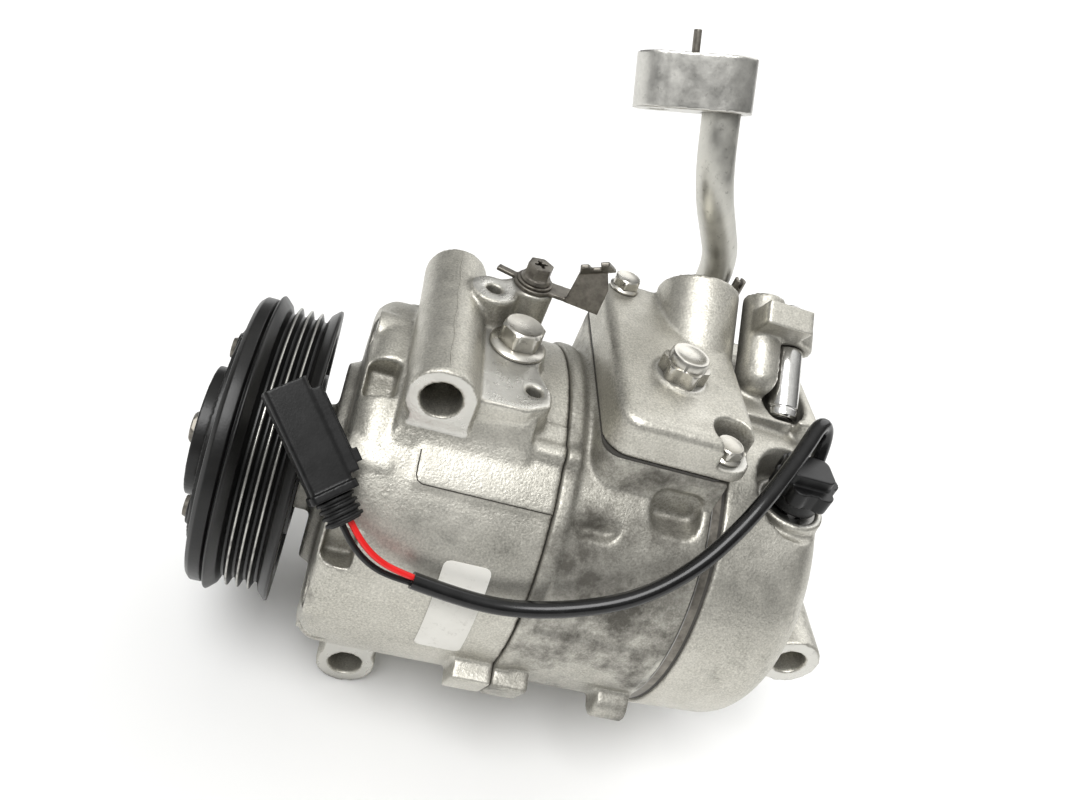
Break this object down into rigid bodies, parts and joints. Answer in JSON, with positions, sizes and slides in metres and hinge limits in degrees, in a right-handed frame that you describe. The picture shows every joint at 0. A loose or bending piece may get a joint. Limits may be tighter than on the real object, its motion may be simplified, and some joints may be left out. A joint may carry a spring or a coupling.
{
  "type": "automotive air conditioning compressor",
  "caption": "Clutchless variable-displacement swash-plate compressor with a grooved belt pulley, muffler, control valve lead and discharge pipe.",
  "frame": {"origin": "on the shaft's axis, at the middle plane of the pulley's belt grooves", "axes": "+X along the shaft from the pulley towards the rear housing, +Z out of the machined pad and the muffler cover, -Y towards the mouths of the mounting bores"},
  "size_m": [0.2408, 0.1424, 0.239],
  "materials": {
    "cast_aluminium": "sand-cast, matt, lightly stained",
    "machined_aluminium": "turned and milled, satin",
    "pipe_aluminium": "drawn tube, dull satin",
    "zinc_steel": "zinc plated, slightly dulled",
    "bearing_steel": "ground",
    "polished_steel": "polished",
    "dark_steel": "phosphated, oily",
    "black_paint": "black coating, semi-gloss, belt-polished ridges",
    "black_rubber": "moulded",
    "black_plastic": "moulded, fine texture",
    "black_sheath": "smooth, slightly glossy",
    "red_insulation": "smooth",
    "black_insulation": "smooth",
    "gasket_fibre": "coated fibre sheet",
    "spring_steel": "rolled",
    "label_film": "blank white film, slightly soiled"
  },
  "bodies": {
    "housing": {"front_housing": "cast_aluminium", "cylinder_block": "cast_aluminium", "rear_housing": "cast_aluminium", "muffler_cover": "cast_aluminium", "suction_reed_sheet": "spring_steel", "valve_plate": "dark_steel", "discharge_reed_sheet": "spring_steel", "rear_gasket": "gasket_fibre", "front_o_ring": "black_rubber", "through_bolts": "zinc_steel", "muffler_gasket": "gasket_fibre", "muffler_bolts": "zinc_steel", "muffler_centre_bolt": "zinc_steel", "pad_bolt": "zinc_steel", "clip_bracket": "dark_steel", "clip_washer": "dark_steel", "clip_screw": "dark_steel", "pipe_foot_block": "machined_aluminium", "discharge_pipe": "pipe_aluminium", "pipe_end_block": "machined_aluminium", "pipe_end_dowel": "dark_steel", "pipe_foot_bolt": "zinc_steel", "port_pin": "dark_steel", "relief_valve": "polished_steel", "check_valve_seat": "machined_aluminium", "control_valve_body": "bearing_steel", "control_valve_o_rings": "black_rubber", "control_valve_retainer": "spring_steel", "control_valve_connector": "black_plastic", "control_lead_sleeve": "black_sheath", "lead_wire_red": "red_insulation", "lead_wire_black": "black_insulation", "lead_plug_boot": "black_rubber", "lead_plug": "black_plastic", "rating_label": "label_film", "shaft_seal": "black_rubber", "front_radial_bearing": "bearing_steel", "front_thrust_bearing": "bearing_steel", "rear_radial_bearing": "bearing_steel", "rear_thrust_bearing": "bearing_steel", "pistons": "machined_aluminium", "piston_shoes": "polished_steel", "pulley_inner_race": "bearing_steel", "bearing_snap_ring": "spring_steel"},
    "rotor": {"pulley": "black_paint", "pulley_outer_race": "bearing_steel", "damper_plate": "black_paint", "damper_rubbers": "black_rubber", "damper_rivets": "dark_steel", "hub_plate": "black_paint", "hub_bolt": "dark_steel", "drive_shaft": "bearing_steel", "lug_plate": "dark_steel", "swash_plate": "bearing_steel", "swash_spring": "spring_steel", "hinge_pin": "bearing_steel"},
    "ball_cage": {"pulley_balls": "polished_steel"},
    "control_plunger": {"control_valve_plunger": "bearing_steel"},
    "check_piston": {"check_valve_piston": "machined_aluminium"},
    "plug_latch": {"lead_plug_latch": "black_plastic"}
  },
  "joints": [
    {"name": "shaft_spin", "type": "hinge", "parent": "housing", "child": "rotor", "pos_m": [0, 0, 0], "axis": [1, 0, 0], "continuous": true},
    {"name": "ball_cage_spin", "type": "hinge", "parent": "housing", "child": "ball_cage", "pos_m": [0, 0, 0], "axis": [1, 0, 0], "continuous": true},
    {"name": "control_plunger_slide", "type": "slide", "parent": "housing", "child": "control_plunger", "axis": [0, 0, 1], "range_m": [0, 0.001], "stiffness_N_per_m": 400},
    {"name": "check_valve_slide", "type": "slide", "parent": "housing", "child": "check_piston", "axis": [0, -1, 0], "range_m": [0, 0.003], "stiffness_N_per_m": 300},
    {"name": "plug_latch_press", "type": "hinge", "parent": "housing", "child": "plug_latch", "pos_m": [0.01816, -0.04316, 0.05247], "axis": [-0.1064, 0.6746, -0.7305], "range_deg": [0, 5], "stiffness_Nm_per_rad": 0.2}
  ],
  "couplings": [
    {"joint": "ball_cage_spin", "follows": "shaft_spin", "ratio": 0.57}
  ]
}
